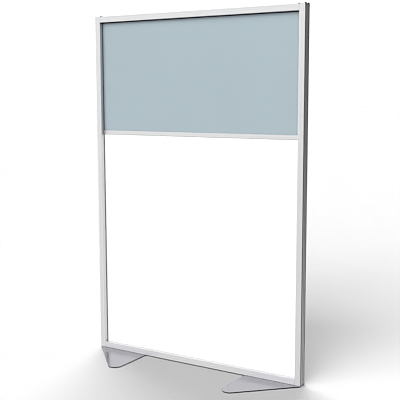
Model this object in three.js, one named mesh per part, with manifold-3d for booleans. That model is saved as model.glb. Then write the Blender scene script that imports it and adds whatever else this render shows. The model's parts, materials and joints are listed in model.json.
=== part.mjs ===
// Free-standing partition screen. An aluminium frame holds a tinted panel above a
// white writing panel, and stands on two flat triangular foot plates.
// Millimetres, +Z up, front towards -Y, origin on the floor under the screen's middle.

import * as THREE from 'three';
import { mergeVertices } from 'three/addons/utils/BufferGeometryUtils.js';
import Module from 'manifold-3d';

const wasm = await Module();
wasm.setup();

// Driving dimensions of the whole screen
const WIDTH = 1219;
const FRAME_HEIGHT = 1801;
const PLATE_THICK = 6;
const CLEAR = 0.3;
const PANEL_THICK = 4;

// Frame profile: u runs from the outer face (0) to the panel side, v is depth from the middle
const FACE = 30;
const DEPTH = 50;
const EDGE_RADIUS = 0.8;
const LIP = 2;
const SLOT_MOUTH = [13.5, 21.5];
const SLOT_INSIDE = [11.5, 23.5];
const SLOT_FLOOR = 10;
const SCRIBE_HALF = 3.5;
const SCRIBE_DEEP = 1.5;
const GROOVE_HALF = 4;
const GROOVE_FLOOR = 17;
const SIDE_CHAMBER = { u: [12, 28], v: [6, 23] };
const MIDDLE_CHAMBER = { u: [3.5, 10], v: [-9.5, 9.5] };

// Middle rail: an H-section set back behind the frame's front
const MID_BOTTOM = 1181;
const MID_HEIGHT = 20.6;
const MID_DEPTH = 12;
const MID_GROOVE = 6;
const MID_PORT = { u: [7.5, 13.1], v: [-3.5, 3.5] };

// Seals: a U-section round each panel edge
const SEAL_HALF = GROOVE_HALF - CLEAR;
const SEAL_SLOT_HALF = PANEL_THICK / 2 + CLEAR;
const SEAL_BASE = 2;
const MID_SEAL_BASE = 1.5;
const SIDE_SEAL_PROUD = 2;
const TOP_SEAL_PROUD = 4;
const FLUSH = 0;

// Corner fixings: a threaded block in each rail chamber and a cap screw through the stile
const BLOCK_LENGTH = 40;
const BLOCK_SETBACK = 0.7;
const BOLT = { shank: 2, head: 3.5, headLength: 4, socket: 1.6, socketDeep: 2, length: 40 };
const BOLT_FROM_END = 20;
const BOLT_V = (SLOT_MOUTH[0] + SLOT_MOUTH[1]) / 2;

// Middle rail fixing: a tongue in the rail's port, locked by a pin
const TONGUE = { length: 30, height: 5, width: 6.4 };
const JOINER_HEIGHT = 8;
const PIN = { radius: 1.5, length: 8, fromStile: 20 };

// Top trim
const CAP_THICK = 1.7;
const CAP_LEG = 12;
const TRIM_PROUD = 4.4;
const PLUG = { neck: 5, stem: 8.7, recess: 0.2, stemRecess: 3, flush: 0.4 };
const PLUG_HEAD = { deep: 3.2, inward: 11.5, outward: 6.5 };
const CLIP_PROUD = 3;
const CLIP_LENGTH = 6;
const CLIP_HALF_SPAN = 23;
const CLIP_SHORT = 12;
const CLIP_LEG = 9;

// Foot plates: a 45 degree triangle in front of the frame and its mirror image behind
const FOOT_LEG = 304;
const TIP_RADIUS = 38;
const PLATE_BEVEL = 0.8;
const FOOT_SCREW = { shank: 3, head: 5.6, headLength: 2.9, length: 14.7, socket: 2, socketDeep: 2 };
const SCREWS_FROM_END = [80, 240];
const NUT_STRIP = { length: 200, height: 6 };

const HOLE_STEPS = 16;
const FASTENER_STEPS = 20;
const ARC_STEPS = 3;

// The finishes
const FINISH = {
  anodised: { color: 0xd8d8da, roughness: 0.42, metalness: 0.85 },
  plate: { color: 0xbcbbc2, roughness: 0.22, metalness: 0.95 },
  tinted: { color: 0xb3c2c9, roughness: 0.35, metalness: 0 },
  board: { color: 0xf8f8f8, roughness: 0.25, metalness: 0 },
  seal: { color: 0x1b1c1e, roughness: 0.8, metalness: 0 },
  blackPlastic: { color: 0x151515, roughness: 0.55, metalness: 0 },
  greyPlastic: { color: 0xcfcfd1, roughness: 0.5, metalness: 0 },
  zinc: { color: 0xa9abae, roughness: 0.35, metalness: 0.95 },
  blackSteel: { color: 0x2a2b2d, roughness: 0.45, metalness: 0.9 },
};

function named(name, geometry, finish) {
  const mesh = new THREE.Mesh(geometry, new THREE.MeshStandardMaterial(FINISH[finish]));
  mesh.name = name;
  return mesh;
}

function placed(mesh, x, y, z, rx = 0, ry = 0, rz = 0) {
  mesh.position.set(x, y, z);
  mesh.rotation.set(rx, ry, rz);
  return mesh;
}

// Boolean cuts and joins
function solidOf(geometry) {
  const bare = geometry.clone();
  bare.deleteAttribute('normal');
  bare.deleteAttribute('uv');
  const merged = mergeVertices(bare, 1e-4);
  return new wasm.Manifold(new wasm.Mesh({
    numProp: 3,
    vertProperties: merged.attributes.position.array,
    triVerts: Uint32Array.from(merged.index.array),
  }));
}

function geometryOf(solid) {
  const mesh = solid.getMesh();
  const geometry = new THREE.BufferGeometry();
  geometry.setAttribute('position', new THREE.BufferAttribute(mesh.vertProperties, 3));
  geometry.setIndex(new THREE.BufferAttribute(mesh.triVerts, 1));
  geometry.computeVertexNormals();
  return geometry;
}

function cut(geometry, tools) {
  let solid = solidOf(geometry);
  for (const tool of tools) {
    solid = solid.subtract(solidOf(tool));
  }
  return geometryOf(solid);
}

function join(geometries) {
  let solid = solidOf(geometries[0]);
  for (const other of geometries.slice(1)) {
    solid = solid.add(solidOf(other));
  }
  return geometryOf(solid);
}

// A box given by its low and high corners
function block(x, y, z) {
  const geometry = new THREE.BoxGeometry(x[1] - x[0], y[1] - y[0], z[1] - z[0]);
  return geometry.translate((x[0] + x[1]) / 2, (y[0] + y[1]) / 2, (z[0] + z[1]) / 2);
}

// A drill along local X, from x0 to x1
function drillX(radius, x0, x1, y, z) {
  const geometry = new THREE.CylinderGeometry(radius, radius, x1 - x0, HOLE_STEPS);
  geometry.rotateZ(Math.PI / 2);
  return geometry.translate((x0 + x1) / 2, y, z);
}

// A drill along local Z, from z0 to z1
function drillZ(radius, z0, z1, x, y) {
  const geometry = new THREE.CylinderGeometry(radius, radius, z1 - z0, HOLE_STEPS);
  geometry.rotateX(Math.PI / 2);
  return geometry.translate(x, y, (z0 + z1) / 2);
}

// Points of a rounded corner about (u, v), from one angle to another in quarter turns
function corner(u, v, radius, fromQuarter, toQuarter) {
  const points = [];
  for (let i = 0; i <= ARC_STEPS; i += 1) {
    const quarter = fromQuarter + (toQuarter - fromQuarter) * i / ARC_STEPS;
    const angle = quarter * Math.PI / 2;
    points.push([u + radius * Math.cos(angle), v + radius * Math.sin(angle)]);
  }
  return points;
}

// Closes a half outline, drawn where v is positive, with its mirror image
function mirroredShape(half, holes) {
  const back = half.map(([u, v]) => [u, -v]).reverse();
  const shape = new THREE.Shape([...half, ...back].map(([u, v]) => new THREE.Vector2(u, v)));
  for (const { u, v } of holes) {
    const ring = [[u[0], v[0]], [u[1], v[0]], [u[1], v[1]], [u[0], v[1]]];
    shape.holes.push(new THREE.Path(ring.map(([a, b]) => new THREE.Vector2(a, b))));
  }
  return shape;
}

function lengthOf(shape, length) {
  return new THREE.ExtrudeGeometry(shape, { depth: length, bevelEnabled: false });
}

// The extrusion that stiles, top rail and bottom rail are sawn from
function frameProfile() {
  const half = DEPTH / 2;
  const outline = [
    [SCRIBE_DEEP, SCRIBE_HALF],
    [0, SCRIBE_HALF],
    [0, SLOT_MOUTH[0]],
    [LIP, SLOT_MOUTH[0]],
    [LIP, SLOT_INSIDE[0]],
    [SLOT_FLOOR, SLOT_INSIDE[0]],
    [SLOT_FLOOR, SLOT_INSIDE[1]],
    [LIP, SLOT_INSIDE[1]],
    [LIP, SLOT_MOUTH[1]],
    [0, SLOT_MOUTH[1]],
    ...corner(EDGE_RADIUS, half - EDGE_RADIUS, EDGE_RADIUS, 2, 1),
    ...corner(FACE - EDGE_RADIUS, half - EDGE_RADIUS, EDGE_RADIUS, 1, 0),
    [FACE, GROOVE_HALF],
    [GROOVE_FLOOR, GROOVE_HALF],
  ];
  const { u, v } = SIDE_CHAMBER;
  const otherSide = { u, v: [-v[1], -v[0]] };
  return mirroredShape(outline, [MIDDLE_CHAMBER, SIDE_CHAMBER, otherSide]);
}

function midRailProfile() {
  const half = MID_DEPTH / 2;
  const outline = [
    [MID_GROOVE, GROOVE_HALF],
    [0, GROOVE_HALF],
    ...corner(EDGE_RADIUS, half - EDGE_RADIUS, EDGE_RADIUS, 2, 1),
    ...corner(MID_HEIGHT - EDGE_RADIUS, half - EDGE_RADIUS, EDGE_RADIUS, 1, 0),
    [MID_HEIGHT, GROOVE_HALF],
    [MID_HEIGHT - MID_GROOVE, GROOVE_HALF],
  ];
  return mirroredShape(outline, [MID_PORT]);
}

// U-section seal: base at u = 0, open towards the panel
function sealProfile(deep, base) {
  return mirroredShape([
    [base, SEAL_SLOT_HALF],
    [deep, SEAL_SLOT_HALF],
    [deep, SEAL_HALF],
    [0, SEAL_HALF],
  ], []);
}

// Frame: two stiles the full height, with the rails butted between them
const STILE_LENGTH = FRAME_HEIGHT - CAP_THICK - CLEAR;
const RAIL_LENGTH = WIDTH - 2 * (FACE + CLEAR);

function stile(name, side) {
  const through = [SLOT_FLOOR - 1, FACE + 1];
  const drills = [];
  for (const z of [BOLT_FROM_END, FRAME_HEIGHT - BOLT_FROM_END]) {
    for (const v of [-BOLT_V, BOLT_V]) {
      drills.push(drillX(BOLT.shank + CLEAR, ...through, v, z));
    }
  }
  const geometry = cut(lengthOf(frameProfile(), STILE_LENGTH), drills);
  const turn = side < 0 ? 0 : Math.PI;
  return placed(named(name, geometry, 'anodised'), side * WIDTH / 2, 0, 0, 0, 0, turn);
}

function topRail() {
  const mesh = named('top_rail', lengthOf(frameProfile(), RAIL_LENGTH), 'anodised');
  return placed(mesh, -RAIL_LENGTH / 2, 0, FRAME_HEIGHT, 0, Math.PI / 2, 0);
}

function bottomRail() {
  const mesh = named('bottom_rail', lengthOf(frameProfile(), RAIL_LENGTH), 'anodised');
  return placed(mesh, RAIL_LENGTH / 2, 0, 0, 0, -Math.PI / 2, 0);
}

function midRail() {
  const pinAt = PIN.fromStile;
  const web = [MID_GROOVE - 1, MID_HEIGHT - MID_GROOVE + 1];
  const drills = [pinAt, RAIL_LENGTH - pinAt].map((z) => drillX(PIN.radius + CLEAR, ...web, 0, z));
  const geometry = cut(lengthOf(midRailProfile(), RAIL_LENGTH), drills);
  const mesh = named('mid_rail', geometry, 'anodised');
  return placed(mesh, RAIL_LENGTH / 2, 0, MID_BOTTOM, 0, -Math.PI / 2, 0);
}

// Panel edges, worked out from the groove floors, the seal bases and the clearances
const PANEL_X = WIDTH / 2 - GROOVE_FLOOR - SEAL_BASE - 2 * CLEAR;
const EDGE_IN_RAIL = GROOVE_FLOOR + SEAL_BASE + 2 * CLEAR;
const EDGE_IN_MID = MID_GROOVE - MID_SEAL_BASE - 2 * CLEAR;
const PANELS = {
  upper: {
    z: [MID_BOTTOM + MID_HEIGHT - EDGE_IN_MID, FRAME_HEIGHT - EDGE_IN_RAIL],
    opening: [MID_BOTTOM + MID_HEIGHT, FRAME_HEIGHT - FACE],
    finish: 'tinted',
  },
  lower: {
    z: [EDGE_IN_RAIL, MID_BOTTOM + EDGE_IN_MID],
    opening: [FACE, MID_BOTTOM],
    finish: 'board',
  },
};

function panel(which) {
  const { z, finish } = PANELS[which];
  const geometry = new THREE.BoxGeometry(2 * PANEL_X, PANEL_THICK, z[1] - z[0]);
  return placed(named(`${which}_panel`, geometry, finish), 0, 0, (z[0] + z[1]) / 2);
}

function sideSeals(which, proudBelow, proudAbove) {
  const [low, high] = PANELS[which].opening;
  const bottom = low + proudBelow + CLEAR;
  const top = high - proudAbove - CLEAR;
  const deep = FACE - GROOVE_FLOOR - CLEAR + SIDE_SEAL_PROUD;
  const x = WIDTH / 2 - GROOVE_FLOOR - CLEAR;
  return [-1, 1].map((side) => {
    const geometry = lengthOf(sealProfile(deep, SEAL_BASE), top - bottom);
    const name = `${which}_seal_${side < 0 ? 'left' : 'right'}`;
    return placed(named(name, geometry, 'seal'), side * x, 0, bottom, 0, 0, side < 0 ? 0 : Math.PI);
  });
}

function sealAbove(which, floorZ, deep, base) {
  const mesh = named(`${which}_seal_top`, lengthOf(sealProfile(deep, base), RAIL_LENGTH), 'seal');
  return placed(mesh, -RAIL_LENGTH / 2, 0, floorZ - CLEAR, 0, Math.PI / 2, 0);
}

function sealBelow(which, floorZ, deep, base) {
  const mesh = named(`${which}_seal_bottom`, lengthOf(sealProfile(deep, base), RAIL_LENGTH), 'seal');
  return placed(mesh, RAIL_LENGTH / 2, 0, floorZ + CLEAR, 0, -Math.PI / 2, 0);
}

function seals() {
  const inRail = FACE - GROOVE_FLOOR - CLEAR;
  const inMid = MID_GROOVE - CLEAR;
  return [
    ...sideSeals('upper', FLUSH, TOP_SEAL_PROUD),
    ...sideSeals('lower', FLUSH, FLUSH),
    sealAbove('upper', FRAME_HEIGHT - GROOVE_FLOOR, inRail + TOP_SEAL_PROUD, SEAL_BASE),
    sealBelow('upper', MID_BOTTOM + MID_HEIGHT - MID_GROOVE, inMid, MID_SEAL_BASE),
    sealAbove('lower', MID_BOTTOM + MID_GROOVE, inMid, MID_SEAL_BASE),
    sealBelow('lower', GROOVE_FLOOR, inRail, SEAL_BASE),
  ];
}

// Socket screw turned about Y, its bearing face at y = 0 and its shank towards +Y
function boltGeometry() {
  const { shank, head, headLength, socket, socketDeep, length } = BOLT;
  const outline = [
    [0, socketDeep - headLength],
    [socket, socketDeep - headLength],
    [socket, -headLength],
    [head, -headLength],
    [head, 0],
    [shank, 0],
    [shank, length],
    [0, length],
  ];
  return new THREE.LatheGeometry(outline.map(([r, y]) => new THREE.Vector2(r, y)), FASTENER_STEPS);
}

function cornerFixings() {
  const { u, v } = SIDE_CHAMBER;
  const wide = v[1] - v[0] - 2 * CLEAR;
  const tall = u[1] - u[0] - 2 * CLEAR;
  const middleV = (v[0] + v[1]) / 2;
  const meshes = [];
  for (const [level, z] of [['bottom', BOLT_FROM_END], ['top', FRAME_HEIGHT - BOLT_FROM_END]]) {
    for (const [hand, side] of [['left', -1], ['right', 1]]) {
      for (const [end, face] of [['front', -1], ['back', 1]]) {
        const place = `${level}_${hand}_${end}`;
        const solid = new THREE.BoxGeometry(BLOCK_LENGTH, wide, tall);
        const reach = BLOCK_LENGTH / 2 + 1;
        const hole = drillX(BOLT.shank + CLEAR, -reach, reach, face * (BOLT_V - middleV), 0);
        const x = side * (RAIL_LENGTH / 2 - BLOCK_SETBACK - BLOCK_LENGTH / 2);
        const piece = named(`corner_block_${place}`, cut(solid, [hole]), 'zinc');
        meshes.push(placed(piece, x, face * middleV, z));
        const bolt = named(`corner_bolt_${place}`, boltGeometry(), 'blackSteel');
        const headX = side * (WIDTH / 2 - SLOT_FLOOR + CLEAR);
        meshes.push(placed(bolt, headX, face * BOLT_V, z, 0, 0, side * Math.PI / 2));
      }
    }
  }
  return meshes;
}

// Middle rail joiner: a block in the stile's groove with a tongue in the rail's port
function midFixings() {
  const web = MID_BOTTOM + MID_HEIGHT / 2;
  const meshes = [];
  for (const [hand, side] of [['left', -1], ['right', 1]]) {
    const inGroove = block([GROOVE_FLOOR + CLEAR, FACE - CLEAR], [-SEAL_HALF, SEAL_HALF],
      [-JOINER_HEIGHT / 2, JOINER_HEIGHT / 2]);
    const tongue = block([FACE - 1, FACE + TONGUE.length], [-TONGUE.width / 2, TONGUE.width / 2],
      [-TONGUE.height / 2, TONGUE.height / 2]);
    const pinU = FACE + CLEAR + PIN.fromStile;
    const hole = drillZ(PIN.radius + CLEAR, -JOINER_HEIGHT, JOINER_HEIGHT, pinU, 0);
    const joiner = named(`mid_joiner_${hand}`, cut(join([inGroove, tongue]), [hole]), 'zinc');
    const turn = side < 0 ? 0 : Math.PI;
    meshes.push(placed(joiner, side * WIDTH / 2, 0, web, 0, 0, turn));
    const shape = new THREE.CylinderGeometry(PIN.radius, PIN.radius, PIN.length, FASTENER_STEPS);
    const pin = named(`mid_pin_${hand}`, shape, 'blackSteel');
    meshes.push(placed(pin, side * (WIDTH / 2 - pinU), 0, web, Math.PI / 2, 0, 0));
  }
  return meshes;
}

// Cap on a stile's sawn end: a plate notched round the slots, with two legs in the chambers
function stileCap(name, side) {
  const half = DEPTH / 2;
  const notch = SLOT_FLOOR + CLEAR;
  const plate = mirroredShape([
    [0, SLOT_MOUTH[0] - CLEAR],
    [notch, SLOT_MOUTH[0] - CLEAR],
    [notch, SLOT_MOUTH[1] + CLEAR],
    [0, SLOT_MOUTH[1] + CLEAR],
    ...corner(EDGE_RADIUS, half - EDGE_RADIUS, EDGE_RADIUS, 2, 1),
    ...corner(FACE - EDGE_RADIUS, half - EDGE_RADIUS, EDGE_RADIUS, 1, 0),
  ], []);
  const { u, v } = SIDE_CHAMBER;
  const legs = [-1, 1].map((face) => {
    const across = [face * (v[0] + CLEAR), face * (v[1] - CLEAR)].sort((a, b) => a - b);
    return block([u[0] + CLEAR, u[1] - CLEAR], across, [-CAP_LEG, CAP_THICK / 2]);
  });
  const mesh = named(name, join([lengthOf(plate, CAP_THICK), ...legs]), 'greyPlastic');
  const turn = side < 0 ? 0 : Math.PI;
  return placed(mesh, side * WIDTH / 2, 0, FRAME_HEIGHT - CAP_THICK, 0, 0, turn);
}

// Plug in the top end of a stile's side slot. The right stile's plugs have a flat head on top
// of the stile, and the left stile's are flush with its top
function slotPlug(name, side, face) {
  const inner = SLOT_FLOOR - CLEAR;
  const topEnd = side < 0 ? PLUG.flush : TRIM_PROUD / 2;
  const shape = new THREE.Shape([
    [PLUG.recess, topEnd],
    [PLUG_HEAD.deep, topEnd],
    [PLUG_HEAD.deep, 0],
    [inner, 0],
    [inner, -PLUG.neck - PLUG.stem],
    [PLUG.stemRecess, -PLUG.neck - PLUG.stem],
    [PLUG.stemRecess, -PLUG.neck],
    [PLUG.recess, -PLUG.neck],
  ].map(([u, z]) => new THREE.Vector2(u, z)));
  const wide = SLOT_MOUTH[1] - SLOT_MOUTH[0] - 2 * CLEAR;
  const stem = lengthOf(shape, wide).translate(0, 0, -wide / 2).rotateX(Math.PI / 2);
  const across = [PLUG_HEAD.outward, -PLUG_HEAD.inward].map((v) => v * face * -side);
  across.sort((a, b) => a - b);
  const head = block([PLUG.recess, PLUG_HEAD.deep], across, [CLEAR, TRIM_PROUD]);
  const solids = side < 0 ? [stem] : [stem, head];
  const turn = side < 0 ? 0 : Math.PI;
  const mesh = named(name, join(solids), 'blackPlastic');
  return placed(mesh, side * WIDTH / 2, face * BOLT_V, FRAME_HEIGHT, 0, 0, turn);
}

// Outline of a clip in one top slot, whose flat head reaches inwards to a given depth
function clipOutline(innerEnd) {
  return [
    [CLIP_PROUD, innerEnd],
    [CLEAR, innerEnd],
    [CLEAR, SLOT_MOUTH[0] + CLEAR],
    [-CLIP_LEG, SLOT_MOUTH[0] + CLEAR],
    [-CLIP_LEG, SLOT_MOUTH[1] - CLEAR],
    [CLEAR, SLOT_MOUTH[1] - CLEAR],
    [CLEAR, CLIP_HALF_SPAN],
    [CLIP_PROUD, CLIP_HALF_SPAN],
  ];
}

// Clip at a rail end: the left one joins both top slots, the right one sits in the front slot
function railClip(name, side) {
  const single = clipOutline(CLIP_HALF_SPAN - CLIP_SHORT);
  const shape = side < 0
    ? mirroredShape(clipOutline(0).slice(2), [])
    : new THREE.Shape(single.map(([z, v]) => new THREE.Vector2(z, -v)));
  const geometry = lengthOf(shape, CLIP_LENGTH).translate(0, 0, -CLIP_LENGTH / 2);
  geometry.rotateY(-Math.PI / 2);
  const x = side * (RAIL_LENGTH / 2 - CLIP_LENGTH / 2);
  return placed(named(name, geometry, 'blackPlastic'), x, 0, FRAME_HEIGHT);
}

function topTrim() {
  const meshes = [];
  for (const [hand, side] of [['left', -1], ['right', 1]]) {
    meshes.push(stileCap(`stile_cap_${hand}`, side));
    meshes.push(slotPlug(`slot_plug_${hand}_front`, side, -1));
    meshes.push(slotPlug(`slot_plug_${hand}_back`, side, 1));
    meshes.push(railClip(`rail_clip_${hand}`, side));
  }
  return meshes;
}

// Foot plate, drawn for the left end: the slanted edges start at the frame's outer corners
function footPlate(name, side) {
  const half = DEPTH / 2;
  const inner = FOOT_LEG - TIP_RADIUS;
  const tipY = half + FOOT_LEG - TIP_RADIUS * (1 + Math.SQRT2);
  const shape = new THREE.Shape();
  shape.moveTo(0, half);
  shape.lineTo(0, -half);
  shape.absarc(inner, -tipY, TIP_RADIUS, 1.25 * Math.PI, 2 * Math.PI, false);
  shape.absarc(inner, tipY, TIP_RADIUS, 0, 0.75 * Math.PI, false);
  const plate = new THREE.ExtrudeGeometry(shape, {
    depth: PLATE_THICK - 2 * PLATE_BEVEL,
    bevelThickness: PLATE_BEVEL,
    bevelSize: PLATE_BEVEL,
    bevelOffset: -PLATE_BEVEL,
    bevelSegments: 2,
    curveSegments: 14,
  }).translate(0, 0, PLATE_BEVEL);
  const { shank, head, headLength } = FOOT_SCREW;
  const drills = [];
  for (const x of SCREWS_FROM_END) {
    for (const y of [-BOLT_V, BOLT_V]) {
      drills.push(drillZ(shank + CLEAR, -1, PLATE_THICK + 1, x, y));
      const sink = new THREE.CylinderGeometry(head + CLEAR, shank + CLEAR, headLength, HOLE_STEPS);
      drills.push(sink.rotateX(-Math.PI / 2).translate(x, y, CLEAR + headLength / 2));
      drills.push(drillZ(head + CLEAR, -1, CLEAR, x, y));
    }
  }
  const turn = side < 0 ? 0 : Math.PI;
  return placed(named(name, cut(plate, drills), 'plate'), side * WIDTH / 2, 0, 0, 0, 0, turn);
}

// Countersunk screw turned about Y, its flush face at y = 0 and its shank towards +Y
function footScrewGeometry() {
  const { shank, head, headLength, length, socket, socketDeep } = FOOT_SCREW;
  const outline = [
    [0, socketDeep],
    [socket, socketDeep],
    [socket, 0],
    [head, 0],
    [shank, headLength],
    [shank, length],
    [0, length],
  ];
  return new THREE.LatheGeometry(outline.map(([r, y]) => new THREE.Vector2(r, y)), FASTENER_STEPS);
}

// Strips in the bottom rail's slots, tapped for the foot screws
function footFixings() {
  const meshes = [];
  const wide = SLOT_INSIDE[1] - SLOT_INSIDE[0] - 2 * CLEAR;
  const stripX = (SCREWS_FROM_END[0] + SCREWS_FROM_END[1]) / 2;
  const bottom = PLATE_THICK + CLEAR + LIP + CLEAR;
  for (const [hand, side] of [['left', -1], ['right', 1]]) {
    for (const [end, face] of [['front', -1], ['back', 1]]) {
      const solid = new THREE.BoxGeometry(NUT_STRIP.length, wide, NUT_STRIP.height);
      const drills = SCREWS_FROM_END.map((x) => {
        const reach = NUT_STRIP.height;
        return drillZ(FOOT_SCREW.shank + CLEAR, -reach, reach, x - stripX, 0);
      });
      const strip = named(`nut_strip_${hand}_${end}`, cut(solid, drills), 'zinc');
      const x = side * (WIDTH / 2 - stripX);
      meshes.push(placed(strip, x, face * BOLT_V, bottom + NUT_STRIP.height / 2));
      SCREWS_FROM_END.forEach((fromEnd, i) => {
        const screw = named(`foot_screw_${hand}_${end}_${i + 1}`, footScrewGeometry(), 'blackSteel');
        const screwX = side * (WIDTH / 2 - fromEnd);
        meshes.push(placed(screw, screwX, face * BOLT_V, CLEAR, Math.PI / 2, 0, 0));
      });
    }
  }
  return meshes;
}

const frame = new THREE.Group();
frame.position.z = PLATE_THICK + CLEAR;
frame.add(
  stile('left_stile', -1),
  stile('right_stile', 1),
  topRail(),
  bottomRail(),
  midRail(),
  panel('upper'),
  panel('lower'),
  ...seals(),
  ...cornerFixings(),
  ...midFixings(),
  ...topTrim(),
);

const feet = new THREE.Group();
feet.add(
  footPlate('foot_plate_left', -1),
  footPlate('foot_plate_right', 1),
  ...footFixings(),
);

const screen = new THREE.Group();
screen.add(frame, feet);

export default screen;
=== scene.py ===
# %% [markdown]
# # A partition screen in anodised aluminium
# The object is a free-standing room divider. A frame of aluminium extrusion holds a tinted panel
# above a white writing board, and two flat metal plates keep it upright. The CAD model already
# holds every solid of it, down to the screws, so this script adds what a CAD model can't show:
# light, a floor, a camera and the finish of each surface.
# Lengths are in metres, +Z is up and the front of the screen faces -Y.

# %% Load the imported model
import json
import math

import bpy
from mathutils import Matrix, Vector

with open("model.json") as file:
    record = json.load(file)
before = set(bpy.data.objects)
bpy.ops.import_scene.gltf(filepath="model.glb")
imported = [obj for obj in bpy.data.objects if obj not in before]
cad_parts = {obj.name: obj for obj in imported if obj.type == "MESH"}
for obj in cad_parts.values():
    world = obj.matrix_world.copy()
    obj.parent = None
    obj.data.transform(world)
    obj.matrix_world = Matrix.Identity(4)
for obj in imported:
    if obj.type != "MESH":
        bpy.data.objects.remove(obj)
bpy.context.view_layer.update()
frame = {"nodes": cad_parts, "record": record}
nodes = frame["nodes"]
print("CAD nodes:", len(nodes))

# %% [markdown]
# ## Camera
# The photograph was taken from the right, a little below the top of the screen and with a long
# lens, which keeps the uprights almost parallel. The camera's place, turn and lens were worked
# out from the frame's straight edges and the foot plates' outlines. Yaw turns the camera to the
# left, pitch tips it down and roll leans it, in that order, so the camera's three axes are built
# one after the other.

# %% Camera
SENSOR_WIDTH = 0.036
LENS = 0.073478
CAMERA_PLACE = Vector((2.2124, -3.4753, 1.3971))
YAW = math.radians(32.1375)
PITCH = math.radians(7.3502)
ROLL = math.radians(-0.142)
MM = 0.001


def camera_axes(yaw, pitch, roll):
    """The camera's right, up and backward directions in the world."""
    forward = Vector(
        (-math.sin(yaw) * math.cos(pitch), math.cos(yaw) * math.cos(pitch), -math.sin(pitch))
    )
    level_right = Vector((math.cos(yaw), math.sin(yaw), 0))
    level_up = level_right.cross(forward)
    right = math.cos(roll) * level_right + math.sin(roll) * level_up
    up = math.cos(roll) * level_up - math.sin(roll) * level_right
    return right, up, -forward


def make_camera():
    data = bpy.data.cameras.new("photo_camera")
    data.sensor_width = SENSOR_WIDTH / MM
    data.lens = LENS / MM
    camera = bpy.data.objects.new("photo_camera", data)
    bpy.context.scene.collection.objects.link(camera)
    turn = Matrix(camera_axes(YAW, PITCH, ROLL)).transposed().to_4x4()
    camera.matrix_world = Matrix.Translation(CAMERA_PLACE) @ turn
    bpy.context.scene.camera = camera
    return camera


camera = make_camera()
print("camera at", [round(value, 3) for value in camera.location])
print("lens", round(LENS / MM, 1), "mm")

# %% [markdown]
# ## Light
# A studio lights a product with large soft sources. Here a wide source and a lower, narrower one
# stand in front of the screen and a third behind its left, and a dim dome fills the rest. The
# shadows on the photograph's floor tell where such sources stand. A sun lamp with a
# wide angle is a large soft source that lights every place alike. The lamps only light surfaces.
# What metal mirrors is the dome, so their glossy visibility is off, and a bar shows one smooth
# tone instead of a hot spot.

# %% Studio lights
WHITE = (1, 1, 1, 1)
STUDIO_LIGHTS = {
    "front_light": {"azimuth": -5, "elevation": 28, "angle": 70, "strength": 3.22},
    "low_front_light": {"azimuth": 5, "elevation": 20, "angle": 40, "strength": 1.36},
    "back_light": {"azimuth": -140, "elevation": 35, "angle": 50, "strength": 3.03},
}


def direction_to(azimuth, elevation):
    """Unit vector from the screen to a light; azimuth 0 is in front and 90 is to the right."""
    turn = math.radians(azimuth)
    rise = math.radians(elevation)
    return Vector(
        (math.sin(turn) * math.cos(rise), -math.cos(turn) * math.cos(rise), math.sin(rise))
    )


def soft_light(name, azimuth, elevation, angle, strength):
    data = bpy.data.lights.new(name, "SUN")
    data.angle = math.radians(angle)
    data.energy = strength
    lamp = bpy.data.objects.new(name, data)
    bpy.context.scene.collection.objects.link(lamp)
    lamp.rotation_euler = direction_to(azimuth, elevation).to_track_quat("Z", "Y").to_euler()
    lamp.visible_glossy = False
    print(name, "at azimuth", azimuth, "elevation", elevation, "strength", strength)
    return lamp


for light_name, setting in STUDIO_LIGHTS.items():
    soft_light(light_name, **setting)

# %% [markdown]
# ## Node helpers
# Every finish below is a small network of nodes. These helpers add a node with its settings and
# join nodes by name, so that each network reads as a short list of steps.

# %% Node helpers
MIX_SOCKETS = (0, 6, 7)
MIX_RESULT = 2


def add(tree, kind, inputs=None, **settings):
    """A new node with its settings; an input's value is a number, a tuple or a socket."""
    node = tree.nodes.new(kind)
    for name, value in settings.items():
        setattr(node, name, value)
    for name, value in (inputs or {}).items():
        if isinstance(value, bpy.types.NodeSocket):
            tree.links.new(value, node.inputs[name])
        else:
            node.inputs[name].default_value = value
    return node


def maths(tree, operation, first, second=0.0, clamp=False):
    """The output of a Math node."""
    return add(
        tree, "ShaderNodeMath", {0: first, 1: second}, operation=operation, use_clamp=clamp
    ).outputs[0]


def remap(tree, value, low, high, to_low=0.0, to_high=1.0):
    """Smoothly maps low..high to to_low..to_high."""
    return add(
        tree,
        "ShaderNodeMapRange",
        {"Value": value, "From Min": low, "From Max": high, "To Min": to_low, "To Max": to_high},
        interpolation_type="SMOOTHSTEP",
    ).outputs["Result"]


def remap_straight(tree, value, low, high):
    """Maps low..high to 0..1 in a straight line."""
    return add(
        tree, "ShaderNodeMapRange", {"Value": value, "From Min": low, "From Max": high}
    ).outputs["Result"]


def mix_colour(tree, share, first, second):
    """Blends two colours by a share from 0 to 1."""
    node = add(tree, "ShaderNodeMix", data_type="RGBA")
    sockets = [node.inputs[index] for index in MIX_SOCKETS]
    for socket, value in zip(sockets, (share, first, second)):
        if isinstance(value, bpy.types.NodeSocket):
            tree.links.new(value, socket)
        else:
            socket.default_value = value
    return node.outputs[MIX_RESULT]


# %% [markdown]
# ## The dome
# The world is a dome whose brightness depends on direction. A dot product with a direction to the
# right gives how far a point of the dome lies towards the dark side of the studio, which keeps the
# screen's right side dark. A faint glow low down at the back stands for the lit floor there, which
# the foot of that side mirrors. Light Path tells three kinds of ray apart: the camera sees plain
# white, mirror-like rays see a bright dome, and the soft fill that lights surfaces is dimmer. The
# world's own light sampling is off, because it would mix the last two.

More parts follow.
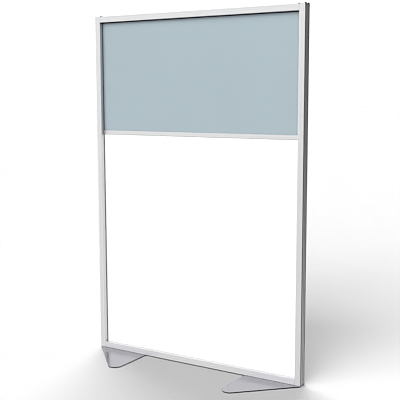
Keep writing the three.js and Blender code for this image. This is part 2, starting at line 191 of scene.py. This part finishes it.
# %% Dome
BACKDROP = 1.05
FILL = 0.11
MIRRORED = 0.92
DARK_AZIMUTH = 115
DOME_TONES = ((-1.0, 1.0), (-0.75, 0.95), (-0.3, 0.72), (0.1, 0.42), (0.5, 0.12), (1.0, 0.115))
DOME_HEIGHTS = ((-1.0, 0.55), (-0.35, 0.88), (0.0, 0.98), (0.35, 1.0), (0.6, 2.4))
GROUND_GLOW = 0.95
GLOW_HEIGHTS = (-0.45, -0.05)
GLOW_DEPTHS = (0, 0.6)


def tone_curve(tree, value, points):
    """Maps a value from -1..1 through a curve of (value, tone) points."""
    share = remap_straight(tree, value, -1, 1)
    ramp = add(tree, "ShaderNodeValToRGB", {"Fac": share})
    stops = ramp.color_ramp.elements
    while len(stops) < len(points):
        stops.new(0.5)
    for stop, (where, tone) in zip(stops, points):
        stop.position = (where + 1) / 2
        stop.color = (tone, tone, tone, 1)
    return ramp.outputs["Color"]


def make_dome():
    world = bpy.data.worlds.new("studio")
    bpy.context.scene.world = world
    world.use_nodes = True
    world.cycles.sampling_method = "NONE"
    tree = world.node_tree
    tree.nodes.clear()
    direction = add(tree, "ShaderNodeTexCoord").outputs["Generated"]
    dark_side = direction_to(DARK_AZIMUTH, 0)
    sideways = add(
        tree, "ShaderNodeVectorMath", {0: direction, 1: dark_side}, operation="DOT_PRODUCT"
    ).outputs["Value"]
    parts = add(tree, "ShaderNodeSeparateXYZ", {0: direction}).outputs
    height = parts["Z"]
    around = tone_curve(tree, sideways, DOME_TONES)
    upwards = tone_curve(tree, height, DOME_HEIGHTS)
    light_path = add(tree, "ShaderNodeLightPath").outputs
    level = remap(tree, light_path["Is Glossy Ray"], 0, 1, FILL, MIRRORED)
    mirrored_height = mix_colour(tree, light_path["Is Glossy Ray"], WHITE, upwards)
    low_down = remap(tree, height, *GLOW_HEIGHTS, GROUND_GLOW, 0)
    at_back = remap(tree, parts["Y"], *GLOW_DEPTHS)
    glow = maths(tree, "MULTIPLY", low_down, at_back)
    tone = maths(tree, "ADD", maths(tree, "MULTIPLY", around, mirrored_height), glow)
    strength = maths(tree, "MULTIPLY", level, tone)
    dome = add(tree, "ShaderNodeBackground", {"Color": WHITE, "Strength": strength})
    backdrop = add(tree, "ShaderNodeBackground", {"Color": WHITE, "Strength": BACKDROP})
    both = add(
        tree,
        "ShaderNodeMixShader",
        {0: light_path["Is Camera Ray"], 1: dome.outputs[0], 2: backdrop.outputs[0]},
    )
    add(tree, "ShaderNodeOutputWorld", {"Surface": both.outputs[0]})


make_dome()
scene = bpy.context.scene
scene.view_settings.view_transform = "Standard"
scene.cycles.diffuse_bounces = 0
print("dome: fill", FILL, "mirrored", MIRRORED)

# %% [markdown]
# ## Effects that several finishes share
# Each effect is a node group with named sockets, built once. `drawn lines` gives the faint lines
# that a die leaves along an extrusion or that brushing leaves on sheet: noise that is stretched a
# thousandfold along one axis. The texture reads object coordinates, which here are metres in the
# row's frame, so the lines keep their real size on every piece.

# %% Group helper


def new_group(name, inputs, outputs):
    """An empty shader node group with named sockets, and its input and output nodes."""
    group = bpy.data.node_groups.new(name, "ShaderNodeTree")
    for label, kind, value in inputs:
        socket = group.interface.new_socket(label, in_out="INPUT", socket_type=kind)
        socket.default_value = value
    for label, kind in outputs:
        group.interface.new_socket(label, in_out="OUTPUT", socket_type=kind)
    enter = group.nodes.new("NodeGroupInput")
    leave = group.nodes.new("NodeGroupOutput")
    return group, enter, leave


def place_group(tree, group, inputs=None):
    """Places a group in a material with its own values."""
    node = tree.nodes.new("ShaderNodeGroup")
    node.node_tree = group
    for name, value in (inputs or {}).items():
        if isinstance(value, bpy.types.NodeSocket):
            tree.links.new(value, node.inputs[name])
        else:
            node.inputs[name].default_value = value
    return node


FLOAT = "NodeSocketFloat"
VECTOR = "NodeSocketVector"

# %% Drawn lines


def make_drawn_lines():
    group, enter, leave = new_group(
        "drawn lines", [("Lines Per Metre", VECTOR, (800, 800, 1))], [("Lines", FLOAT)]
    )
    place = add(group, "ShaderNodeTexCoord").outputs["Object"]
    stretched = add(
        group,
        "ShaderNodeVectorMath",
        {0: place, 1: enter.outputs["Lines Per Metre"]},
        operation="MULTIPLY",
    ).outputs["Vector"]
    noise = add(group, "ShaderNodeTexNoise", {"Vector": stretched, "Scale": 1, "Detail": 3})
    lines = remap(group, noise.outputs["Fac"], 0.3, 0.7)
    group.links.new(lines, leave.inputs["Lines"])
    return group


drawn_lines = make_drawn_lines()
print("group:", drawn_lines.name)

# %% [markdown]
# `cloudiness` is a slow, soft change over a surface. It stands for handling marks, cleaning haze
# and uneven sheen, and mostly changes roughness, because that is what such marks do.

# %% Cloudiness


def make_cloudiness():
    group, enter, leave = new_group(
        "cloudiness", [("Size", FLOAT, 0.2), ("Roughness", FLOAT, 0.6)], [("Cloud", FLOAT)]
    )
    place = add(group, "ShaderNodeTexCoord").outputs["Object"]
    per_metre = maths(group, "DIVIDE", 1.0, enter.outputs["Size"])
    noise = add(
        group,
        "ShaderNodeTexNoise",
        {
            "Vector": place,
            "Scale": per_metre,
            "Detail": 5,
            "Roughness": enter.outputs["Roughness"],
            "Distortion": 0.3,
        },
    )
    cloud = remap(group, noise.outputs["Fac"], 0.3, 0.7)
    group.links.new(cloud, leave.inputs["Cloud"])
    return group


cloudiness = make_cloudiness()
print("group:", cloudiness.name)

# %% [markdown]
# `edge wear` finds edges with a Bevel node: it returns the normal that a rounded edge would have,
# and where that departs from the real normal there is an edge. Noise breaks the mask up, so the
# wear comes and goes along the edge as knocks do.

# %% Edge wear


def make_edge_wear():
    group, enter, leave = new_group(
        "edge wear",
        [("Reach", FLOAT, 0.0015), ("Patch Size", FLOAT, 0.03), ("Amount", FLOAT, 0.5)],
        [("Wear", FLOAT)],
    )
    rounded = add(group, "ShaderNodeBevel", {"Radius": enter.outputs["Reach"]}, samples=4)
    flat = add(group, "ShaderNodeNewGeometry").outputs["Normal"]
    agree = add(
        group,
        "ShaderNodeVectorMath",
        {0: rounded.outputs["Normal"], 1: flat},
        operation="DOT_PRODUCT",
    ).outputs["Value"]
    edge = remap(group, agree, 0.9, 0.995, 1, 0)
    place = add(group, "ShaderNodeTexCoord").outputs["Object"]
    per_metre = maths(group, "DIVIDE", 1.0, enter.outputs["Patch Size"])
    noise = add(group, "ShaderNodeTexNoise", {"Vector": place, "Scale": per_metre, "Detail": 6})
    patches = remap(group, noise.outputs["Fac"], 0.45, 0.65)
    worn = maths(group, "MULTIPLY", edge, patches)
    scaled = maths(group, "MULTIPLY", worn, enter.outputs["Amount"])
    group.links.new(scaled, leave.inputs["Wear"])
    return group


edge_wear = make_edge_wear()
print("group:", edge_wear.name)

# %% [markdown]
# `hair scratches` are thin bright lines in scattered directions. Each layer is a wave of noise
# turned to its own direction and stretched, and only its sharpest crests count as scratches.

# %% Hair scratches
SCRATCH_TURNS = (0.35, 1.25, 2.3)


def make_hair_scratches():
    group, enter, leave = new_group(
        "hair scratches",
        [("Per Metre", FLOAT, 120), ("Length Ratio", FLOAT, 40)],
        [("Scratch", FLOAT)],
    )
    place = add(group, "ShaderNodeTexCoord").outputs["Object"]
    along = maths(group, "DIVIDE", enter.outputs["Per Metre"], enter.outputs["Length Ratio"])
    across = enter.outputs["Per Metre"]
    scale = add(group, "ShaderNodeCombineXYZ", {"X": along, "Y": across, "Z": across}).outputs[0]
    strongest = None
    for turn in SCRATCH_TURNS:
        turned = place
        for axis in ("Y_AXIS", "Z_AXIS"):
            inputs = {"Vector": turned, "Angle": turn}
            turned = add(group, "ShaderNodeVectorRotate", inputs, rotation_type=axis).outputs[0]
        stretched = add(
            group, "ShaderNodeVectorMath", {0: turned, 1: scale}, operation="MULTIPLY"
        ).outputs["Vector"]
        noise = add(group, "ShaderNodeTexNoise", {"Vector": stretched, "Scale": 1, "Detail": 1})
        crest = remap(group, noise.outputs["Fac"], 0.66, 0.7)
        strongest = crest if strongest is None else maths(group, "MAXIMUM", strongest, crest)
    group.links.new(strongest, leave.inputs["Scratch"])
    return group


hair_scratches = make_hair_scratches()
print("group:", hair_scratches.name)

# %% [markdown]
# `fine grain` is the tiny relief of moulded plastic, rubber and blasted metal. It only feeds a
# Bump node, so it changes how light breaks on the surface and not its colour.

# %% Fine grain


def make_fine_grain():
    group, enter, leave = new_group(
        "fine grain", [("Grain Size", FLOAT, 0.0006)], [("Height", FLOAT)]
    )
    place = add(group, "ShaderNodeTexCoord").outputs["Object"]
    per_metre = maths(group, "DIVIDE", 1.0, enter.outputs["Grain Size"])
    noise = add(group, "ShaderNodeTexNoise", {"Vector": place, "Scale": per_metre, "Detail": 2})
    group.links.new(noise.outputs["Fac"], leave.inputs["Height"])
    return group


fine_grain = make_fine_grain()
print("group:", fine_grain.name)

# %% [markdown]
# `groove shade` finds the depths of slots and joints, where little light gets in, so that a finish
# can paint shade there.
# Ambient Occlusion casts short rays from the surface, and where most of them are stopped nearby
# the place lies in a groove.

# %% Groove shade


def make_groove_shade():
    group, enter, leave = new_group(
        "groove shade",
        [("Depth", FLOAT, 0.01), ("Closed", FLOAT, 0.25), ("Open", FLOAT, 0.7)],
        [("Shade", FLOAT)],
    )
    open_sky = add(
        group, "ShaderNodeAmbientOcclusion", {"Distance": enter.outputs["Depth"]}, samples=8
    ).outputs["AO"]
    # Painted shade: the mask is high where nearby geometry stops most of the short rays.
    shade = remap(group, open_sky, enter.outputs["Closed"], enter.outputs["Open"], 1, 0)
    group.links.new(shade, leave.inputs["Shade"])
    return group


groove_shade = make_groove_shade()
print("group:", groove_shade.name)

# %% [markdown]
# ## Material helper
# All finishes here are opaque, so each is one Principled BSDF. Values that are the same all over
# a surface are set on the shader's own sockets, and only what changes over it is linked.

# %% Material helper


def new_finish(name, **values):
    """A material with its Principled shader set; returns material, tree and shader."""
    material = bpy.data.materials.new(name)
    material.use_nodes = True
    tree = material.node_tree
    shader = tree.nodes["Principled BSDF"]
    for socket, value in values.items():
        shader.inputs[socket.replace("_", " ")].default_value = value
    return material, tree, shader


def bump(tree, shader, height, distance, strength=1.0):
    """Feeds a height, in units of distance, to the shader's normal."""
    node = add(
        tree, "ShaderNodeBump", {"Height": height, "Distance": distance, "Strength": strength}
    )
    tree.links.new(node.outputs["Normal"], shader.inputs["Normal"])


# %% [markdown]
# ## Satin anodised aluminium
# The bars are extruded, etched and anodised. That leaves a pale, even metal with a satin sheen
# and faint lines along each bar. The lines run along Z on the stiles and along X on the rails, so
# the finish is made twice with the stretch turned. Edges that get knocked show brighter metal, and
# the depths of the slots get a painted shade, a dark colour where little light reaches.

# %% Anodised bars
ALUMINIUM = (0.81, 0.81, 0.815, 1)
ALUMINIUM_DULL = (0.75, 0.75, 0.76, 1)
ALUMINIUM_BRIGHT = (0.9, 0.9, 0.9, 1)
ALUMINIUM_SLOT_SHADE = (0.22, 0.22, 0.225, 1)
SLOT_REACH = 0.009


def anodised(name, lines_per_metre, broad_per_metre):
    material, tree, shader = new_finish(name, Metallic=0.8, Specular_IOR_Level=0.5)
    lines = place_group(tree, drawn_lines, {"Lines Per Metre": lines_per_metre}).outputs["Lines"]
    broad = place_group(tree, drawn_lines, {"Lines Per Metre": broad_per_metre}).outputs["Lines"]
    cloud = place_group(tree, cloudiness, {"Size": 0.25}).outputs["Cloud"]
    wear = place_group(tree, edge_wear, {"Reach": 0.001, "Patch Size": 0.02, "Amount": 0.5})
    scratch = place_group(tree, hair_scratches, {"Per Metre": 260}).outputs["Scratch"]
    tone = mix_colour(tree, broad, ALUMINIUM_DULL, ALUMINIUM)
    worn = mix_colour(tree, wear.outputs["Wear"], tone, ALUMINIUM_BRIGHT)
    # Painted shade: the slots' depths take a near-black colour wherever the groove shade finds
    # them.
    shade = place_group(tree, groove_shade, {"Depth": SLOT_REACH}).outputs["Shade"]
    shaded = mix_colour(tree, shade, worn, ALUMINIUM_SLOT_SHADE)
    tree.links.new(shaded, shader.inputs["Base Color"])
    satin = remap(tree, lines, 0, 1, 0.38, 0.46)
    hazed = maths(tree, "ADD", satin, remap(tree, cloud, 0, 1, -0.02, 0.03))
    smoothed = maths(tree, "SUBTRACT", hazed, maths(tree, "MULTIPLY", scratch, 0.08))
    tree.links.new(smoothed, shader.inputs["Roughness"])
    bump(tree, shader, lines, 0.00002)
    return material


upright_aluminium = anodised("anodised_upright", (1100, 1100, 0.8), (190, 190, 0.5))
level_aluminium = anodised("anodised_level", (0.8, 1100, 1100), (0.5, 190, 190))
print("finishes:", upright_aluminium.name, level_aluminium.name)

# %% [markdown]
# ## Foot plates
# The plates are flat steel with a fine brushed finish under a thin clear coat, so they mirror the
# rail above them softly. The brushing runs along each plate. The upright rim is coloured dark,
# partly as the raw sawn edge and partly as painted shade: the surface's own normal tells the level
# face from the upright rim. The plates also throw the lamps' light up on the rail. The lamps
# aren't mirrored here, so Light Path makes the plates brighter where another metal piece mirrors
# them, which stands for that light.

# %% Brushed plate
PLATE_METAL = (0.355, 0.35, 0.385, 1)
PLATE_METAL_LIGHT = (0.39, 0.385, 0.42, 1)
PLATE_RIM_CUT_AND_SHADE = (0.1, 0.1, 0.11, 1)
PLATE_THROWN = (0.62, 0.62, 0.68, 1)


def brushed_plate():
    material, tree, shader = new_finish("brushed_plate", Metallic=0.9, Specular_IOR_Level=0.5)
    lines = place_group(tree, drawn_lines, {"Lines Per Metre": (900, 6, 900)}).outputs["Lines"]
    cloud = place_group(tree, cloudiness, {"Size": 0.08}).outputs["Cloud"]
    wear = place_group(tree, edge_wear, {"Reach": 0.0012, "Patch Size": 0.015, "Amount": 0.2})
    scratch = place_group(tree, hair_scratches, {"Per Metre": 200}).outputs["Scratch"]
    tone = mix_colour(tree, maths(tree, "MULTIPLY", lines, 0.35), PLATE_METAL, PLATE_METAL_LIGHT)
    worn = mix_colour(tree, wear.outputs["Wear"], tone, ALUMINIUM_BRIGHT)
    # The upright rim gets a dark colour: partly the raw sawn edge, partly painted shade.
    normal = add(tree, "ShaderNodeNewGeometry").outputs["Normal"]
    upward = add(tree, "ShaderNodeSeparateXYZ", {0: normal}).outputs["Z"]
    rim_cut_and_shade = remap(tree, maths(tree, "ABSOLUTE", upward), 0.3, 0.8, 1, 0)
    with_rim_cut_and_shade = mix_colour(tree, rim_cut_and_shade, worn, PLATE_RIM_CUT_AND_SHADE)
    in_mirror = add(tree, "ShaderNodeLightPath").outputs["Is Glossy Ray"]
    lit = mix_colour(tree, in_mirror, with_rim_cut_and_shade, PLATE_THROWN)
    tree.links.new(lit, shader.inputs["Base Color"])
    satin = remap(tree, lines, 0, 1, 0.15, 0.19)
    hazed = maths(tree, "ADD", satin, remap(tree, cloud, 0, 1, 0, 0.02))
    scuffed = maths(tree, "ADD", hazed, maths(tree, "MULTIPLY", scratch, 0.1))
    tree.links.new(scuffed, shader.inputs["Roughness"])
    bump(tree, shader, lines, 0.00001)
    return material


plate_metal = brushed_plate()
print("finish:", plate_metal.name)

# %% [markdown]
# ## Tinted panel
# The upper panel is a solid plastic sheet in a pale grey blue with a smooth, slightly dulled
# face. A cleaned sheet still carries a faint haze from wiping, and fine hair scratches. Close to
# the frame it gets a painted shade, a darker colour where the frame stands in its light.

# %% Tinted sheet
TINT = (0.328, 0.397, 0.432, 1)
TINT_DEEP = (0.32, 0.388, 0.423, 1)
TINT_RIM_SHADE = (0.16, 0.17, 0.21, 1)
RIM_SHADE_REACH = 0.03


def tinted_sheet():
    material, tree, shader = new_finish("tinted_sheet", IOR=1.49)
    cloud = place_group(tree, cloudiness, {"Size": 0.3}).outputs["Cloud"]
    speck = place_group(tree, cloudiness, {"Size": 0.004, "Roughness": 0.7}).outputs["Cloud"]
    scratch = place_group(tree, hair_scratches, {"Per Metre": 90}).outputs["Scratch"]
    tone = mix_colour(tree, cloud, TINT_DEEP, TINT)
    # Painted shade: the panel is darkened in a band next to the frame's lips and seals.
    rim_shade_node = place_group(tree, groove_shade, {"Depth": RIM_SHADE_REACH, "Closed": 0.4, "Open": 0.95})
    rim_shade_share = maths(tree, "MULTIPLY", rim_shade_node.outputs["Shade"], 0.6)
    shaded = mix_colour(tree, rim_shade_share, tone, TINT_RIM_SHADE)
    tree.links.new(shaded, shader.inputs["Base Color"])
    satin = remap(tree, cloud, 0, 1, 0.34, 0.4)
    hazed = maths(tree, "ADD", satin, remap(tree, speck, 0, 1, 0, 0.04))
    scratched = maths(tree, "ADD", hazed, maths(tree, "MULTIPLY", scratch, 0.1))
    tree.links.new(scratched, shader.inputs["Roughness"])
    bump(tree, shader, speck, 0.00001)
    return material


panel_blue = tinted_sheet()
print("finish:", panel_blue.name)

# %% [markdown]
# ## Writing board
# The lower panel is a glossy white writing surface. Its marks are the broad arcs of a wiping
# cloth, which hardly change its white but break its gloss.

# %% White board
BOARD_WHITE = (0.94, 0.94, 0.94, 1)
BOARD_WIPED = (0.93, 0.93, 0.935, 1)


def white_board():
    material, tree, shader = new_finish("white_board", IOR=1.5)
    wipes = place_group(tree, drawn_lines, {"Lines Per Metre": (3, 60, 9)}).outputs["Lines"]
    cloud = place_group(tree, cloudiness, {"Size": 0.35}).outputs["Cloud"]
    scratch = place_group(tree, hair_scratches, {"Per Metre": 70}).outputs["Scratch"]
    marks = maths(tree, "MULTIPLY", wipes, cloud)
    tone = mix_colour(tree, marks, BOARD_WHITE, BOARD_WIPED)
    tree.links.new(tone, shader.inputs["Base Color"])
    gloss = remap(tree, marks, 0, 1, 0.16, 0.26)
    scratched = maths(tree, "ADD", gloss, maths(tree, "MULTIPLY", scratch, 0.08))
    tree.links.new(scratched, shader.inputs["Roughness"])
    bump(tree, shader, cloud, 0.0002)
    return material


panel_white = white_board()
print("finish:", panel_white.name)

# %% [markdown]
# ## Rubber, plastic and hidden metal
# The seals are matt black rubber, the plugs and clips black moulded plastic, and the stiles' top
# caps grey moulded plastic. The fixings inside are zinc-plated or blackened steel. These pieces
# are small, so one function makes all their finishes from two tones, a grain and a sheen.

# %% Small pieces
RUBBED = 1.6
CLOUD_GRAINS = 30


def small_finish(name, dark, light, roughness, grain, relief, metallic=0.0, specular=0.5):
    """A finish from two close tones that a fine grain mixes, with its own sheen and relief."""
    material, tree, shader = new_finish(name, Metallic=metallic, Specular_IOR_Level=specular)
    height = place_group(tree, fine_grain, {"Grain Size": grain}).outputs["Height"]
    cloud = place_group(tree, cloudiness, {"Size": grain * CLOUD_GRAINS}).outputs["Cloud"]
    wear = place_group(tree, edge_wear, {"Reach": 0.0006, "Patch Size": 0.008, "Amount": 0.4})
    tone = mix_colour(tree, cloud, dark, light)
    rubbed = tuple(min(1, RUBBED * part) for part in light[:3]) + (1,)
    worn = mix_colour(tree, wear.outputs["Wear"], tone, rubbed)
    tree.links.new(worn, shader.inputs["Base Color"])
    sheen = remap(tree, cloud, 0, 1, roughness - 0.05, roughness + 0.07)
    tree.links.new(sheen, shader.inputs["Roughness"])
    bump(tree, shader, height, relief)
    return material


SMALL_SETTINGS = {
    "seal_rubber": {
        "dark": (0.025, 0.025, 0.027, 1),
        "light": (0.05, 0.05, 0.053, 1),
        "roughness": 0.75,
        "grain": 0.0009,
        "relief": 0.00008,
        "specular": 0.3,
    },
    "black_plastic": {
        "dark": (0.006, 0.006, 0.006, 1),
        "light": (0.012, 0.012, 0.012, 1),
        "roughness": 0.6,
        "grain": 0.0006,
        "relief": 0.00006,
        "specular": 0.15,
    },
    "grey_plastic": {
        "dark": (0.62, 0.62, 0.63, 1),
        "light": (0.68, 0.68, 0.69, 1),
        "roughness": 0.5,
        "grain": 0.0006,
        "relief": 0.00006,
    },
    "zinc_metal": {
        "dark": (0.5, 0.51, 0.54, 1),
        "light": (0.66, 0.66, 0.65, 1),
        "roughness": 0.35,
        "grain": 0.0015,
        "relief": 0.00003,
        "metallic": 0.95,
    },
    "black_steel": {
        "dark": (0.02, 0.02, 0.022, 1),
        "light": (0.045, 0.045, 0.047, 1),
        "roughness": 0.4,
        "grain": 0.0012,
        "relief": 0.00003,
        "metallic": 0.6,
    },
}
SMALL_FINISHES = {name: small_finish(name, **setting) for name, setting in SMALL_SETTINGS.items()}
print("small finishes:", sorted(SMALL_FINISHES))

# %% [markdown]
# ## Dressing the CAD nodes
# The record says which nodes share a material slot. Each node keeps its shape and gets the finish
# of its slot. Only the aluminium has two versions: upright bars and level ones.

# %% Assign the finishes
FINISHES = {
    "foot_plate_metal": plate_metal,
    "tinted_panel": panel_blue,
    "writing_board": panel_white,
    **SMALL_FINISHES,
}


def finish_for(node_name, slot_name):
    if slot_name == "anodised_aluminium":
        return upright_aluminium if node_name.endswith("stile") else level_aluminium
    return FINISHES[slot_name]


for part in frame["record"]["subparts"]:
    mesh = nodes[part["node"]].data
    mesh.materials.clear()
    mesh.materials.append(finish_for(part["node"], part["material_slot"]))

# %% [markdown]
# ## Floor
# The screen stands on a plain pale floor that runs on into the white background. It is matt, and
# as bright as the background where no shadow falls, so no horizon shows. The groove shade darkens
# the thin gap under the bottom rail. Metal doesn't mirror the floor:
# the lower half of the dome stands for it there, which keeps the dark side of the screen dark.
# It is a single wide triangle, because the groove shade would draw the seam of a square's two.

# %% Floor
FLOOR_REACH = 60.0
FLOOR_CORNERS = (90, 210, 330)
FLOOR_TONE = (0.812, 0.812, 0.812, 1)
FLOOR_TONE_WORN = (0.802, 0.802, 0.802, 1)
FLOOR_SHADED = (0.15, 0.15, 0.15, 1)
GAP_REACH = 0.02


def make_floor():
    mesh = bpy.data.meshes.new("floor")
    corners = [2 * FLOOR_REACH * direction_to(azimuth, 0) for azimuth in FLOOR_CORNERS]
    mesh.from_pydata(corners, [], [(0, 1, 2)])
    floor = bpy.data.objects.new("floor", mesh)
    bpy.context.scene.collection.objects.link(floor)
    material, tree, shader = new_finish("matt_floor", Roughness=0.9, Specular_IOR_Level=0.0)
    cloud = place_group(tree, cloudiness, {"Size": 0.6}).outputs["Cloud"]
    tone = mix_colour(tree, cloud, FLOOR_TONE_WORN, FLOOR_TONE)
    gap = place_group(tree, groove_shade, {"Depth": GAP_REACH, "Closed": 0.3, "Open": 0.6})
    shaded = mix_colour(tree, gap.outputs["Shade"], tone, FLOOR_SHADED)
    tree.links.new(shaded, shader.inputs["Base Color"])
    mesh.materials.append(material)
    floor.visible_glossy = False
    return floor


make_floor()
print("floor reaches", FLOOR_REACH, "m")

# %% [markdown]
# ## Crisp edges
# The photograph was sharpened after it was taken, which leaves a thin pale or dark rim at strong
# edges. The compositor does the same to the finished render. A photo is sharpened in its stored
# tones, so the light is clipped at white and brought to those tones first, and taken back after.

# %% Sharpening
SHARPEN = 0.065
STORED_GAMMA = 2.2


def sharpen_render():
    scene.use_nodes = True
    tree = scene.node_tree
    tree.nodes.clear()
    picture = add(tree, "CompositorNodeRLayers").outputs["Image"]
    clipped = add(tree, "CompositorNodeMixRGB", {1: picture, 2: WHITE}, blend_type="DARKEN")
    stored = add(
        tree, "CompositorNodeGamma", {"Image": clipped.outputs[0], "Gamma": 1 / STORED_GAMMA}
    )
    sharpening = {"Fac": SHARPEN, "Image": stored.outputs[0]}
    crisp = add(tree, "CompositorNodeFilter", sharpening, filter_type="SHARPEN")
    light = add(tree, "CompositorNodeGamma", {"Image": crisp.outputs[0], "Gamma": STORED_GAMMA})
    add(tree, "CompositorNodeComposite", {"Image": light.outputs[0]})


sharpen_render()
print("sharpened by", SHARPEN)
